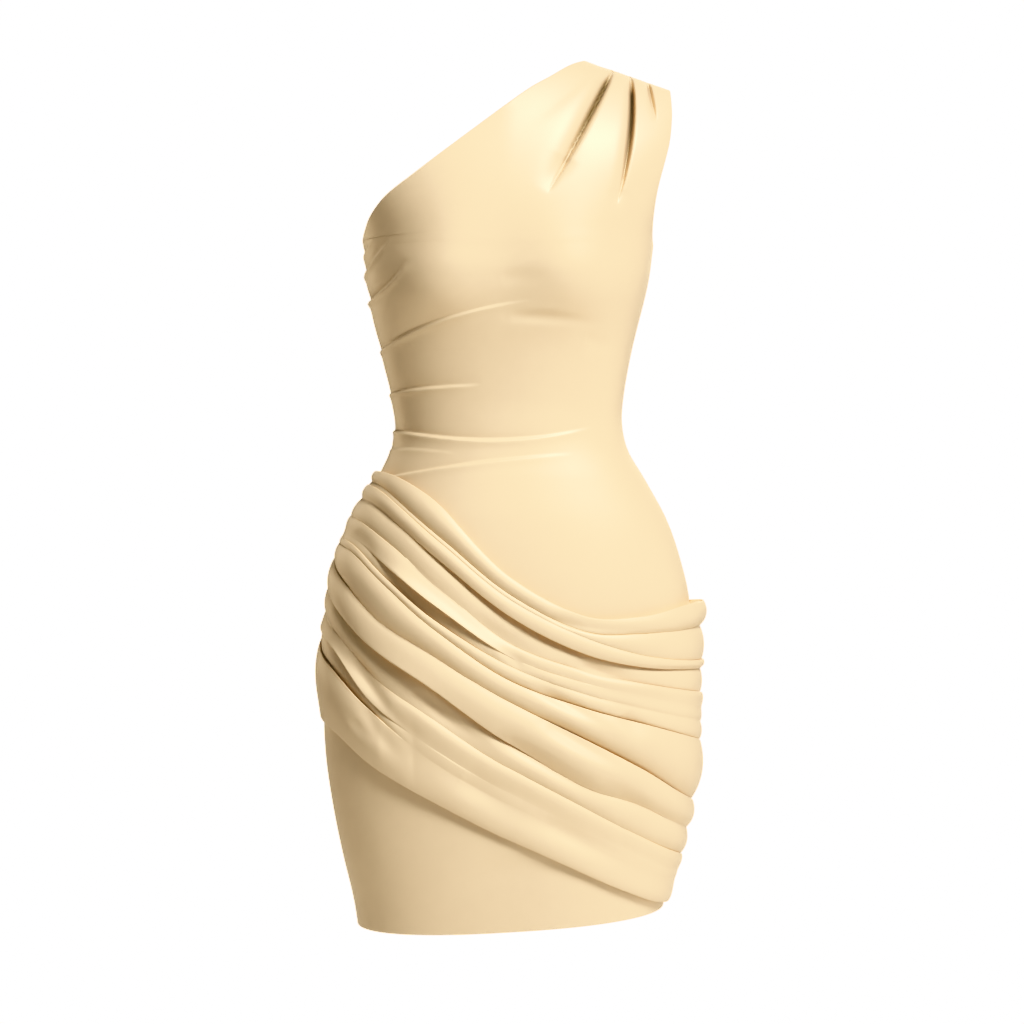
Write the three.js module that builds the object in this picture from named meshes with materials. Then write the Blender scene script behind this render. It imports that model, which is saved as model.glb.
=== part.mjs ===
// One-shoulder mini dress in satin, filled out as it is worn: a front, a back and a draped panel
// pleated from the wearer's right side seam across the front to the left side seam.
// Millimetres, +Z up. The front faces -Y and the wearer's left is +X, where the shoulder is.
// The dress is worked out above its hem level, and then placed with its origin under the
// shoulder seam, where the wearer's shoulder carries it.
import * as THREE from "three";

// Cloth and seams
const CLOTH = 2; // front and back, satin on its underlining
const DRAPE_CLOTH = 1.4; // draped panel, one layer of satin
const SEAM_GAP = 0.3;
const SEAM_ANGLE = 96; // side seams, degrees round from the centre front
const SEAM_FLAT_ANGLE = 12; // creases die out over this much beside a side seam

// Shoulder: the seam runs down from the neck along the ridge of the shoulder
const UNDERARM = 705; // height at which neckline and armhole leave the side seams
const CHEST_SPAN = 190; // measure of the levels above the underarm, from 0 to 1 of it
const NECK_POINT = { x: 79, z: 901 };
const SHOULDER_DROP = 0.352; // fall of the seam for each millimetre outwards
const SHOULDER_Y = 5;
const CHEST_CURVE = 1.25; // how squarely the chest turns over the shoulder
const SHOULDER_MIDDLE = 125; // x of the point where the shoulder holds the strap

// Hem: rises from the wearer's right to the left
const HEM_RIGHT = 16;
const HEM_LEFT = 35;
const HEM_HALF_WIDTH = 156;
const HEM_DROP = 6.5; // how much lower it hangs at the centre front
const HEM_EASE = 240; // height above which a row is level again

// Sections of the worn dress, one row for each height: half width, shift of the middle to +X,
// depth in front and behind, and squareness (2 is an ellipse)
const SECTIONS = [
  { level: 0, half: 154, mid: 2, front: 108, back: 100, square: 2.4 },
  { level: 40, half: 159, mid: 1, front: 110, back: 103, square: 2.4 },
  { level: 90, half: 171, mid: 1, front: 112, back: 108, square: 2.4 },
  { level: 140, half: 180, mid: 0, front: 113, back: 114, square: 2.4 },
  { level: 190, half: 186, mid: -1, front: 114, back: 120, square: 2.4 },
  { level: 243, half: 188, mid: -1, front: 114, back: 125, square: 2.35 },
  { level: 295, half: 187, mid: 0, front: 114, back: 127, square: 2.3 },
  { level: 346, half: 183.5, mid: 2.5, front: 113, back: 122, square: 2.3 },
  { level: 387, half: 174.5, mid: 2.5, front: 110, back: 112, square: 2.3 },
  { level: 428, half: 161.5, mid: 1.5, front: 105, back: 99, square: 2.3 },
  { level: 469, half: 139, mid: 2, front: 97, back: 86, square: 2.3 },
  { level: 500, half: 122, mid: 1, front: 90, back: 79, square: 2.3 },
  { level: 526, half: 117, mid: 0, front: 87, back: 76, square: 2.3 },
  { level: 551, half: 119, mid: -1, front: 87, back: 76, square: 2.3 },
  { level: 593, half: 127, mid: -2, front: 92, back: 80, square: 2.3 },
  { level: 634, half: 136, mid: -2, front: 101, back: 85, square: 2.3 },
  { level: 675, half: 145, mid: -1, front: 107, back: 90, square: 2.3 },
  { level: 705, half: 151, mid: 0, front: 109, back: 93, square: 2.3 },
];

// Chest, one row for each share of the way from the underarm up to the shoulder seam
const CHEST = [
  { share: 0, half: 151, square: 2.3 },
  { share: 0.25, half: 161, square: 2.7 },
  { share: 0.6, half: 174, square: 3 },
  { share: 0.8, half: 178, square: 3 },
  { share: 1, half: 176, square: 3 },
];

// Neckline, seen from the front: how far across it is at each height, on its way from the
// right side seam up to the neck point. Behind, it hangs a little lower.
const NECKLINE = [
  { height: 700, x: -160 },
  { height: 710, x: -151 },
  { height: 721, x: -146 },
  { height: 734, x: -140 },
  { height: 748, x: -129 },
  { height: 758, x: -118 },
  { height: 773, x: -97 },
  { height: 795, x: -68 },
  { height: 841, x: -8 },
  { height: 865, x: 23 },
  { height: 878, x: 43 },
  { height: 893, x: 64 },
  { height: 901, x: 79 },
];
const NECK_LOWER_BEHIND = 24; // four times how much lower, halfway up
const NECK_FARTHEST = 60; // it lies within this many degrees of the centre front

// Armhole, from the left side seam up to the tip of the shoulder
const ARMHOLE = [
  { share: 0, angle: 96 },
  { share: 0.025, angle: 85 },
  { share: 0.07, angle: 78 },
  { share: 0.2, angle: 71 },
  { share: 0.4, angle: 66 },
  { share: 0.7, angle: 65 },
  { share: 1, angle: 67.5 },
];

// Fullness of the cups, one row for each cup
const CUPS = [
  { x: -72, z: 668, out: 13, across: 46, up: 62, down: 34 },
  { x: 70, z: 668, out: 13, across: 46, up: 62, down: 34 },
];

// Creases, one row for each: start, bend and end as seen from the front, width and depth.
// A pleat is a trough. A tuck is a lip with a trough just above it.
const FRONT_CREASES = [
  { kind: "pleat", x0: 106, z0: 886, x1: 92, z1: 838, x2: 46, z2: 766, width: 6, depth: 9 },
  { kind: "pleat", x0: 126, z0: 881, x1: 130, z1: 816, x2: 106, z2: 746, width: 6, depth: 8 },
  { kind: "pleat", x0: 146, z0: 876, x1: 149, z1: 855, x2: 152, z2: 834, width: 4, depth: 4 },
  { kind: "pleat", x0: 91, z0: 893, x1: 60, z1: 856, x2: 4, z2: 812, width: 9, depth: 3 },
  { kind: "tuck", x0: -145, z0: 652, x1: -120, z1: 657, x2: -96, z2: 686, width: 6, depth: 3 },
  { kind: "tuck", x0: -146, z0: 668, x1: -141, z1: 692, x2: -120, z2: 712, width: 5, depth: 2 },
  { kind: "tuck", x0: -136, z0: 599, x1: -75, z1: 634, x2: 25, z2: 649, width: 7, depth: 3.5 },
  { kind: "tuck", x0: -124, z0: 559, x1: -80, z1: 561, x2: -30, z2: 563, width: 6, depth: 3 },
  { kind: "tuck", x0: -121, z0: 524, x1: -10, z1: 496, x2: 88, z2: 523, width: 7, depth: 4 },
  { kind: "tuck", x0: -130, z0: 473, x1: -50, z1: 486, x2: 60, z2: 493, width: 7, depth: 3 },
  { kind: "pleat", x0: 5, z0: 630, x1: 52, z1: 634, x2: 98, z2: 624, width: 9, depth: 2.5 },
];

// The back has the same kinds of crease as the front, seen from the front too
const BACK_CREASES = [
  { kind: "pleat", x0: 106, z0: 886, x1: 98, z1: 848, x2: 70, z2: 790, width: 6, depth: 9 },
  { kind: "pleat", x0: 126, z0: 881, x1: 127, z1: 835, x2: 114, z2: 775, width: 6, depth: 8 },
  { kind: "pleat", x0: 146, z0: 876, x1: 149, z1: 855, x2: 150, z2: 838, width: 4, depth: 4 },
  { kind: "tuck", x0: -136, z0: 606, x1: -84, z1: 626, x2: -20, z2: 632, width: 7, depth: 3 },
  { kind: "tuck", x0: -123, z0: 548, x1: -70, z1: 543, x2: -8, z2: 546, width: 7, depth: 3 },
  { kind: "tuck", x0: 122, z0: 536, x1: 66, z1: 519, x2: 0, z2: 522, width: 7, depth: 2.5 },
  { kind: "tuck", x0: -128, z0: 500, x1: -60, z1: 488, x2: 40, z2: 497, width: 8, depth: 3 },
  { kind: "tuck", x0: 150, z0: 452, x1: 80, z1: 436, x2: 10, z2: 440, width: 9, depth: 2.5 },
];

const PLEAT_CAUGHT = 0.35; // share of a pleat's depth where it starts, caught in its seam
const PLEAT_OPENS = 3; // how fast it deepens from there, for each length of its line
const TUCK_LIP = 1.2; // height of a tuck's lip, and depth of its trough, to its stated depth

// Lines of the draped panel from its top edge down to its lower edge, one row for each fold.
// Heights are given at nine places round the front, listed in STATIONS. Each lip, listed in
// LIP_STATIONS, is how far one side of the line stands over the other: above zero the lower
// pleat lies over the upper one, below zero the upper one hangs over the lower. The sink is
// how deep the line lies between its pleats.
const STATIONS = {
  right: -96, r64: -64, r40: -40, r20: -20, mid: 0, l20: 20, l40: 40, l64: 64, left: 96,
};
const LIP_STATIONS = { lipSide: -70, lipHip: -38, lipMid: 0, lipLeft: 60 };
const DRAPE_LINES = [
  { name: "top edge", right: 477, r64: 475, r40: 463, r20: 436, mid: 371, l20: 333, l40: 332,
    l64: 342, left: 346, lipSide: 3, lipHip: 3, lipMid: 3, lipLeft: 4, sink: 0 },
  { name: "first pleat", right: 468, r64: 463, r40: 443, r20: 408, mid: 352, l20: 316, l40: 315,
    l64: 319, left: 321, lipSide: 6, lipHip: 6, lipMid: 6, lipLeft: 0, sink: 1 },
  { name: "thin roll", right: 461, r64: 456, r40: 435, r20: 399, mid: 344, l20: 307, l40: 293,
    l64: 287, left: 286, lipSide: 0, lipHip: 0, lipMid: 1, lipLeft: 4, sink: 0 },
  { name: "second pleat", right: 451, r64: 445, r40: 424, r20: 387, mid: 333, l20: 296, l40: 282,
    l64: 278, left: 277, lipSide: 0, lipHip: -1, lipMid: -6, lipLeft: -5, sink: 1.5 },
  { name: "third pleat", right: 433, r64: 426, r40: 402, r20: 361, mid: 307, l20: 279, l40: 266,
    l64: 257, left: 250, lipSide: 5, lipHip: 0, lipMid: -2, lipLeft: -6, sink: 1.5 },
  { name: "pocket top", right: 419, r64: 409, r40: 381, r20: 343, mid: 294, l20: 267, l40: 253,
    l64: 242, left: 234, lipSide: -5, lipHip: -4, lipMid: 0, lipLeft: 0, sink: 0 },
  { name: "pocket roll", right: 413, r64: 403, r40: 373, r20: 335, mid: 285, l20: 256, l40: 241,
    l64: 229, left: 220, lipSide: 3, lipHip: 3, lipMid: 0, lipLeft: 0, sink: 0 },
  { name: "long pleat", right: 406, r64: 396, r40: 363, r20: 320, mid: 271, l20: 242, l40: 226,
    l64: 212, left: 199, lipSide: 6, lipHip: 6, lipMid: 6, lipLeft: 7, sink: 0 },
  { name: "fourth pleat", right: 398, r64: 366, r40: 327, r20: 295, mid: 250, l20: 211, l40: 182,
    l64: 155, left: 136, lipSide: 6, lipHip: 3, lipMid: 1, lipLeft: 7, sink: 0 },
  { name: "wide overhang", right: 369, r64: 336, r40: 298, r20: 263, mid: 209, l20: 164, l40: 146,
    l64: 125, left: 110, lipSide: -6, lipHip: -8, lipMid: -7, lipLeft: 0, sink: 0.5 },
  { name: "low pleat", right: 345, r64: 313, r40: 269, r20: 233, mid: 184, l20: 144, l40: 117,
    l64: 97, left: 84, lipSide: 0, lipHip: 2, lipMid: 2, lipLeft: 6, sink: 0 },
  { name: "wedge top", right: 324, r64: 297, r40: 246, r20: 205, mid: 159, l20: 121, l40: 97,
    l64: 78, left: 69, lipSide: -8, lipHip: -3, lipMid: 0, lipLeft: 0, sink: 0 },
  { name: "wedge roll", right: 314, r64: 283, r40: 235, r20: 192, mid: 147, l20: 110, l40: 87,
    l64: 69, left: 60, lipSide: 7, lipHip: 3, lipMid: 0, lipLeft: 0, sink: 0 },
  { name: "lower edge", right: 234, r64: 216, r40: 181, r20: 150, mid: 112, l20: 80, l40: 59,
    l64: 44, left: 39, lipSide: -2, lipHip: -3, lipMid: -4, lipLeft: -3, sink: 0 },
];

// Mean height of the draped panel's face over the front, at each side and in the middle
const LOFT = [
  { level: 40, right: 4, middle: 5, left: 5 },
  { level: 120, right: 5, middle: 6, left: 10 },
  { level: 190, right: 5, middle: 6.5, left: 9 },
  { level: 250, right: 5.5, middle: 6.5, left: 14 },
  { level: 340, right: 5, middle: 6, left: 12 },
  { level: 400, right: 4, middle: 5, left: 10 },
  { level: 480, right: 4, middle: 4, left: 8 },
];
const DRAPE_LEAST = DRAPE_CLOTH + 1.1; // lowest height of its face, so that it clears the front
const DRAPE_CROWN = 0.07; // rise in the middle of a pleat for each millimetre of its width
const DRAPE_CROWN_MOST = 4;
const LINE_HALF = 0.9; // half the height over which a line steps from one side to the other
const PINCH_ANGLE = 6; // degrees over which the pleats are drawn together into a side seam
const PINCH_LOFT = 2.5;
const MITRE_MOST = 1.9; // longest corner of the cloth's inside, in thicknesses
const DRAPE_CLEAR = 1; // least distance of its inside from the front
const ROW_LEAST = 0.15; // least drop from one row of its inside to the next

// How finely each panel is divided
const CHEST_EASE = 1.5; // rows are closer just above the underarm
const HIP_TOP = 380;
const WAIST_LOW = 470;
const FRONT_COLUMNS = 28;
const BACK_COLUMNS = 20;
const DRAPE_COLUMNS = 28;
const PLEAT_STEPS = 3;
const CREASE_STEPS = 12;
const NUDGE = 0.5; // step, in degrees or in height, over which a direction is measured
const HALVINGS = 40;

const SATIN = { color: 0xf6deb0, roughness: 0.42, metalness: 0, side: THREE.DoubleSide };
const radians = THREE.MathUtils.degToRad;
const { lerp, clamp } = THREE.MathUtils;

// A smooth curve through one column of a table, held at its ends.
function through(rows, along, column) {
  const at = rows.map((row) => row[along]);
  const value = rows.map((row) => row[column]);
  const last = rows.length - 1;
  const slope = at.map((_, i) => {
    const a = Math.max(i - 1, 0);
    const b = Math.min(i + 1, last);
    return (value[b] - value[a]) / (at[b] - at[a]);
  });
  return (where) => {
    const x = clamp(where, at[0], at[last]);
    let i = 0;
    while (i < last - 1 && x > at[i + 1]) i += 1;
    const width = at[i + 1] - at[i];
    const p = (x - at[i]) / width;
    const q = 1 - p;
    return value[i] * q * q * (1 + 2 * p) + slope[i] * width * p * q * q
      + value[i + 1] * p * p * (1 + 2 * q) - slope[i + 1] * width * p * p * q;
  };
}

const section = Object.fromEntries(
  ["half", "mid", "front", "back", "square"].map((name) => [name, through(SECTIONS, "level", name)]),
);
const chestHalf = through(CHEST, "share", "half");
const chestSquare = through(CHEST, "share", "square");
const neckX = through(NECKLINE, "height", "x");
const armAngle = through(ARMHOLE, "share", "angle");

const signedPower = (value, power) => Math.sign(value) * Math.abs(value) ** power;
const ridgeHeight = (x) => NECK_POINT.z - SHOULDER_DROP * (Math.abs(x) - NECK_POINT.x);
const chestShare = (level) => clamp((level - UNDERARM) / CHEST_SPAN, 0, 1);

// A point of the worn form: angle in degrees round from the centre front, and a level, which is
// the height up to the underarm and then runs up the chest and over to the shoulder seam.
function formPoint(angle, level) {
  const sine = Math.sin(radians(angle));
  const cosine = Math.cos(radians(angle));
  const low = Math.min(level, UNDERARM);
  const share = chestShare(level);
  const square = share > 0 ? chestSquare(share) : section.square(low);
  const half = share > 0 ? chestHalf(share) : section.half(low);
  const depth = cosine >= 0 ? section.front(low) : section.back(low);
  const x = section.mid(low) + half * signedPower(sine, 2 / square);
  const reach = -depth * signedPower(cosine, 2 / square);
  const turn = (1 - share * share) ** (CHEST_CURVE / 2);
  const y = lerp(SHOULDER_Y, reach, turn);
  const z = share > 0 ? lerp(UNDERARM, ridgeHeight(x), share) : level;
  return new THREE.Vector3(x, y, z);
}

// The outward direction there, from the two ways along the form.
function formNormal(angle, level) {
  const top = UNDERARM + CHEST_SPAN;
  if (level >= top) return new THREE.Vector3(SHOULDER_DROP, 0, 1).normalize();
  const round = formPoint(angle + NUDGE, level).sub(formPoint(angle - NUDGE, level));
  const up = formPoint(angle, Math.min(level + NUDGE, top)).sub(formPoint(angle, level - NUDGE));
  return round.cross(up).normalize();
}

// How far the cups fill the front out at a place seen from the front.
function cupFullness(x, z) {
  return CUPS.reduce((sum, cup) => {
    const high = (z - cup.z) / (z > cup.z ? cup.up : cup.down);
    const wide = (x - cup.x) / cup.across;
    return sum + cup.out * Math.exp(-high * high - wide * wide);
  }, 0);
}

// How far one crease moves the cloth at a place seen from the front. Its line is a curve with
// one bend, and it dies out towards its far end.
function creaseDepth(crease, x, z) {
  let nearest = Infinity;
  let side = 0;
  let along = 0;
  for (let i = 0; i <= CREASE_STEPS; i += 1) {
    const p = i / CREASE_STEPS;
    const q = 1 - p;
    const lineX = q * q * crease.x0 + 2 * p * q * crease.x1 + p * p * crease.x2;
    const lineZ = q * q * crease.z0 + 2 * p * q * crease.z1 + p * p * crease.z2;
    const wayX = q * (crease.x1 - crease.x0) + p * (crease.x2 - crease.x1);
    const wayZ = q * (crease.z1 - crease.z0) + p * (crease.z2 - crease.z1);
    const distance = Math.hypot(x - lineX, z - lineZ);
    if (distance < nearest) {
      nearest = distance;
      along = p;
      side = (wayX * (z - lineZ) - wayZ * (x - lineX)) / Math.hypot(wayX, wayZ);
      side *= Math.sign(wayX) || 1;
    }
  }
  const beyond = Math.sqrt(Math.max(nearest * nearest - side * side, 0));
  const caught = crease.kind === "pleat" ? Math.min(PLEAT_CAUGHT + PLEAT_OPENS * along, 1) : 1;
  const fade = caught * (1 - along ** 3) * Math.exp(-((beyond / crease.width) ** 2));
  const t = side / crease.width;
  const shape = crease.kind === "tuck" ? -TUCK_LIP * t * Math.exp(-t * t) : -Math.exp(-t * t);
  return crease.depth * fade * shape;
}

const creased = (creases, x, z) => creases.reduce((sum, c) => sum + creaseDepth(c, x, z), 0);

// The face of the front or back at an angle and level, from its form, cups and creases.
function panelFace(panel, angle, level) {
  const point = formPoint(angle, level);
  const fromSeam = Math.abs(Math.abs(angle > 180 ? angle - 360 : angle) - SEAM_ANGLE);
  const fade = clamp(fromSeam / SEAM_FLAT_ANGLE, 0, 1);
  const out = panel.cups * cupFullness(point.x, point.z) + creased(panel.creases, point.x, point.z);
  return point.addScaledVector(formNormal(angle, level), out * fade);
}

// One closed wall from a grid of points on its face and a grid of points behind them.
function wall(name, face, behind) {
  const rows = face.length;
  const columns = face[0].length;
  const positions = [...face.flat(), ...behind.flat()].flatMap((p) => [p.x, p.y, p.z]);
  const faceAt = (row, column) => row * columns + column;
  const behindAt = (row, column) => rows * columns + faceAt(row, column);
  const index = [];
  const quad = (a, b, c, d) => index.push(a, b, c, a, c, d);
  for (let r = 0; r < rows - 1; r += 1) {
    for (let c = 0; c < columns - 1; c += 1) {
      quad(faceAt(r, c), faceAt(r, c + 1), faceAt(r + 1, c + 1), faceAt(r + 1, c));
      quad(behindAt(r, c), behindAt(r + 1, c), behindAt(r + 1, c + 1), behindAt(r, c + 1));
    }
    quad(faceAt(r, 0), faceAt(r + 1, 0), behindAt(r + 1, 0), behindAt(r, 0));
    const end = columns - 1;
    quad(faceAt(r, end), behindAt(r, end), behindAt(r + 1, end), faceAt(r + 1, end));
  }
  for (let c = 0; c < columns - 1; c += 1) {
    const top = rows - 1;
    quad(faceAt(0, c), behindAt(0, c), behindAt(0, c + 1), faceAt(0, c + 1));
    quad(faceAt(top, c), faceAt(top, c + 1), behindAt(top, c + 1), behindAt(top, c));
  }
  const geometry = new THREE.BufferGeometry();
  geometry.setAttribute("position", new THREE.Float32BufferAttribute(positions, 3));
  geometry.setIndex(index);
  geometry.computeVertexNormals();
  const mesh = new THREE.Mesh(geometry, new THREE.MeshStandardMaterial(SATIN));
  mesh.name = name;
  return mesh;
}

const spread = (from, to, count) => Array.from({ length: count }, (_, i) => lerp(from, to, i / count));

// Levels of a panel's rows from its hem to the underarm, and on to the shoulder seam.
function panelLevels(rows) {
  const chest = spread(0, 1, rows.chest)
    .map((p) => UNDERARM + CHEST_SPAN * Math.sin((Math.PI / 2) * p ** CHEST_EASE));
  return [...spread(0, HIP_TOP, rows.skirt), ...spread(HIP_TOP, WAIST_LOW, rows.hip),
    ...spread(WAIST_LOW, UNDERARM, rows.bodice), ...chest, UNDERARM + CHEST_SPAN];
}

// The hem slopes, and the rows above it come back to level.
function slopedLevel(angle, level) {
  const x = formPoint(angle, 0).x;
  const drop = HEM_DROP * Math.max(Math.cos(radians(angle)), 0);
  const hem = lerp(HEM_RIGHT, HEM_LEFT, (x + HEM_HALF_WIDTH) / (2 * HEM_HALF_WIDTH)) - drop;
  return level >= HEM_EASE ? level : lerp(hem, HEM_EASE, level / HEM_EASE);
}

// How far round the neckline is at a share of the way up the chest, found by halving.
function neckAngle(share, lower) {
  let from = -SEAM_ANGLE;
  let to = NECK_FARTHEST;
  for (let i = 0; i < HALVINGS; i += 1) {
    const angle = (from + to) / 2;
    const point = formPoint(angle, UNDERARM + CHEST_SPAN * share);
    if (point.x > neckX(point.z + lower * share * (1 - share))) to = angle;
    else from = angle;
  }
  return from;
}

// Moves the end of a row back from its side seam by half of the seam's gap.
function clearSeam(points, angle, level, direction) {
  const way = formPoint(angle + NUDGE, level).sub(formPoint(angle - NUDGE, level));
  way.setLength((direction * SEAM_GAP) / 2);
  points.forEach((point) => point.add(way));
}

// The front or back: each row runs from one edge of the panel to the other.
function bodyPanel(name, panel) {
  const face = [];
  const behind = [];
  for (const level of panel.levels) {
    const share = chestShare(level);
    const neck = share > 0 ? neckAngle(share, panel.neckLower) : -SEAM_ANGLE;
    const arm = share > 0 ? armAngle(share) : SEAM_ANGLE;
    const [from, to] = panel.edges(neck, arm);
    const faceRow = [];
    const behindRow = [];
    for (let c = 0; c <= panel.columns; c += 1) {
      const angle = lerp(from, to, c / panel.columns);
      const height = slopedLevel(angle, level);
      const point = panelFace(panel, angle, height);
      const inner = point.clone().addScaledVector(formNormal(angle, height), -CLOTH);
      faceRow.push(point);
      behindRow.push(inner);
      if (share === 0 && c === 0) clearSeam([point, inner], angle, height, 1);
      if (share === 0 && c === panel.columns) clearSeam([point, inner], angle, height, -1);
      if (share === 1) [point, inner].forEach((p) => p.setY(SHOULDER_Y + panel.away * SEAM_GAP / 2));
    }
    face.push(faceRow);
    behind.push(behindRow);
  }
  return wall(name, face, behind);
}

// A smooth curve over the places named in a set of stations, from one row of the table.
function across(stations, row) {
  const rows = Object.entries(stations).map(([name, angle]) => ({ angle, value: row[name] }));
  return through(rows, "angle", "value");
}

const drapeLines = DRAPE_LINES.map((line) => ({
  level: across(STATIONS, line),
  lip: across(LIP_STATIONS, line),
  sink: line.sink,
}));
const loftRight = through(LOFT, "level", "right");
const loftMiddle = through(LOFT, "level", "middle");
const loftLeft = through(LOFT, "level", "left");

function loft(angle, level) {
  const side = angle < 0 ? loftRight(level) : loftLeft(level);
  return lerp(loftMiddle(level), side, Math.sin(radians(angle)) ** 2);
}

// The draped panel's face in one column, from its top edge down: levels, and heights over the
// front, with a step at each line and a rounded pleat between each line and the next.
function drapeProfile(angle) {
  const profile = [];
  const seam = clamp((SEAM_ANGLE - Math.abs(angle)) / PINCH_ANGLE, 0, 1);
  const add = (level, out) => {
    profile.push({ level, out: lerp(PINCH_LOFT, Math.max(out, DRAPE_LEAST), seam * (2 - seam)) });
  };
  drapeLines.forEach((line, i) => {
    const level = line.level(angle);
    const mean = loft(angle, level) - line.sink;
    const lip = line.lip(angle) / 2;
    if (i > 0) add(level + LINE_HALF, mean - lip);
    if (i === drapeLines.length - 1) return;
    add(level - LINE_HALF, mean + lip);
    const next = drapeLines[i + 1];
    const nextLevel = next.level(angle);
    const nextOut = loft(angle, nextLevel) - next.sink - next.lip(angle) / 2;
    const crown = Math.min(DRAPE_CROWN * (level - nextLevel), DRAPE_CROWN_MOST);
    for (let step = 1; step < PLEAT_STEPS; step += 1) {
      const p = step / PLEAT_STEPS;
      const rise = 4 * crown * p * (1 - p);
      add(lerp(level - LINE_HALF, nextLevel + LINE_HALF, p), lerp(mean + lip, nextOut, p) + rise);
    }
  });
  return profile;
}

// The inside of a profile: each corner moves in by the cloth's thickness, square to both sides.
function insideOf(profile) {
  const inwards = (from, to) => {
    const length = Math.hypot(to.level - from.level, to.out - from.out);
    return { level: (from.out - to.out) / length, out: (to.level - from.level) / length };
  };
  const inside = profile.map((here, i) => {
    const before = i > 0 ? inwards(profile[i - 1], here) : inwards(here, profile[i + 1]);
    const after = i < profile.length - 1 ? inwards(here, profile[i + 1]) : before;
    const level = before.level + after.level;
    const out = before.out + after.out;
    const length = Math.hypot(level, out);
    const reach = DRAPE_CLOTH * Math.min(2 / length, MITRE_MOST) / length;
    return { level: here.level + level * reach, out: Math.max(here.out + out * reach, DRAPE_CLEAR) };
  });
  for (let i = 1; i < inside.length; i += 1) {
    inside[i].level = Math.min(inside[i].level, inside[i - 1].level - ROW_LEAST);
  }
  return inside;
}

// The draped panel lies over the front, column by column.
function drapedPanel(name, panel) {
  const faceColumns = [];
  const behindColumns = [];
  for (let c = 0; c <= DRAPE_COLUMNS; c += 1) {
    const angle = lerp(-SEAM_ANGLE, SEAM_ANGLE, c / DRAPE_COLUMNS);
    const place = ({ level, out }) => {
      const point = panelFace(panel, angle, level);
      point.addScaledVector(formNormal(angle, level), out);
      if (c === 0) clearSeam([point], angle, level, 1);
      if (c === DRAPE_COLUMNS) clearSeam([point], angle, level, -1);
      return point;
    };
    const profile = drapeProfile(angle);
    faceColumns.push(profile.map(place).reverse());
    behindColumns.push(insideOf(profile).map(place).reverse());
  }
  const rowsOf = (columns) => columns[0].map((_, r) => columns.map((column) => column[r]));
  return wall(name, rowsOf(faceColumns), rowsOf(behindColumns));
}

// Angles run from the right seam to the left seam on the front, and from the left seam on round
// to the right seam on the back.
const FRONT = {
  cups: 1,
  creases: FRONT_CREASES,
  levels: panelLevels({ skirt: 8, hip: 4, bodice: 26, chest: 15 }),
  columns: FRONT_COLUMNS,
  neckLower: 0,
  away: -1,
  edges: (neck, arm) => [neck, arm],
};
const BACK = {
  cups: 0,
  creases: BACK_CREASES,
  levels: panelLevels({ skirt: 8, hip: 3, bodice: 15, chest: 11 }),
  columns: BACK_COLUMNS,
  neckLower: NECK_LOWER_BEHIND,
  away: 1,
  edges: (neck, arm) => [Math.max(180 - arm, SEAM_ANGLE), Math.min(180 - neck, 360 - SEAM_ANGLE)],
};

const dress = new THREE.Group();
dress.add(bodyPanel("front", FRONT), bodyPanel("back", BACK), drapedPanel("drape", FRONT));
dress.children.forEach((mesh) => {
  mesh.geometry.translate(-SHOULDER_MIDDLE, -SHOULDER_Y, CLOTH - ridgeHeight(SHOULDER_MIDDLE));
});

export default dress;
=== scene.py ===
"""Satin one-shoulder mini dress: its front, back and draped panel, with their pleats and creases.

The cloth is worked out in millimetres above the dress's hem level, as it is cut and pleated, and
then placed in the frame's metres, with the origin under the shoulder seam.
"""

import math

import bpy
import numpy as np
from bpy.props import FloatProperty, FloatVectorProperty, PointerProperty
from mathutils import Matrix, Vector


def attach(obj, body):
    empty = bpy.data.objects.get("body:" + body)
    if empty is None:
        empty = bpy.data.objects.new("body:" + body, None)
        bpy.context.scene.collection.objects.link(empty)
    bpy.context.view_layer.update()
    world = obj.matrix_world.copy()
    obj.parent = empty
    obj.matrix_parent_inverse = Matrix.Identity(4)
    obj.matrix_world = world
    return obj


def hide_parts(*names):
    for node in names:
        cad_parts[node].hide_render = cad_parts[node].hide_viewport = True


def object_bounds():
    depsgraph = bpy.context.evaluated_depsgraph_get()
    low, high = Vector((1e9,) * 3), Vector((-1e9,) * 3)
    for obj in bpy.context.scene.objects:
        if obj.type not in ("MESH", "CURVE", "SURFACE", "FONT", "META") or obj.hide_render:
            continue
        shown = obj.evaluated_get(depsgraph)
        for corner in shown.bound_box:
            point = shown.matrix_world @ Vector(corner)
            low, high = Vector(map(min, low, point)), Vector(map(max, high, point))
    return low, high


bl_info = {
    "name": "Draped satin dress",
    "version": (1, 0, 0),
    "blender": (4, 5, 0),
    "location": "View3D > Sidebar > Dress",
    "description": "Makes the cloth of a one-shoulder mini dress with a pleated hip drape",
    "category": "Add Mesh",
}

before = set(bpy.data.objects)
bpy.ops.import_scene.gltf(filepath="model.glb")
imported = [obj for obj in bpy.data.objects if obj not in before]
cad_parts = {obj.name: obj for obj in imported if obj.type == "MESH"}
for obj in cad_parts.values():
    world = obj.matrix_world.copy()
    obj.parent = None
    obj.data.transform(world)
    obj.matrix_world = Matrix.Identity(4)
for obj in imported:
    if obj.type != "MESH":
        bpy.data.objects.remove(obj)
CAD_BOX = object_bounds()
MILLIMETRE = 0.001

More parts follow.
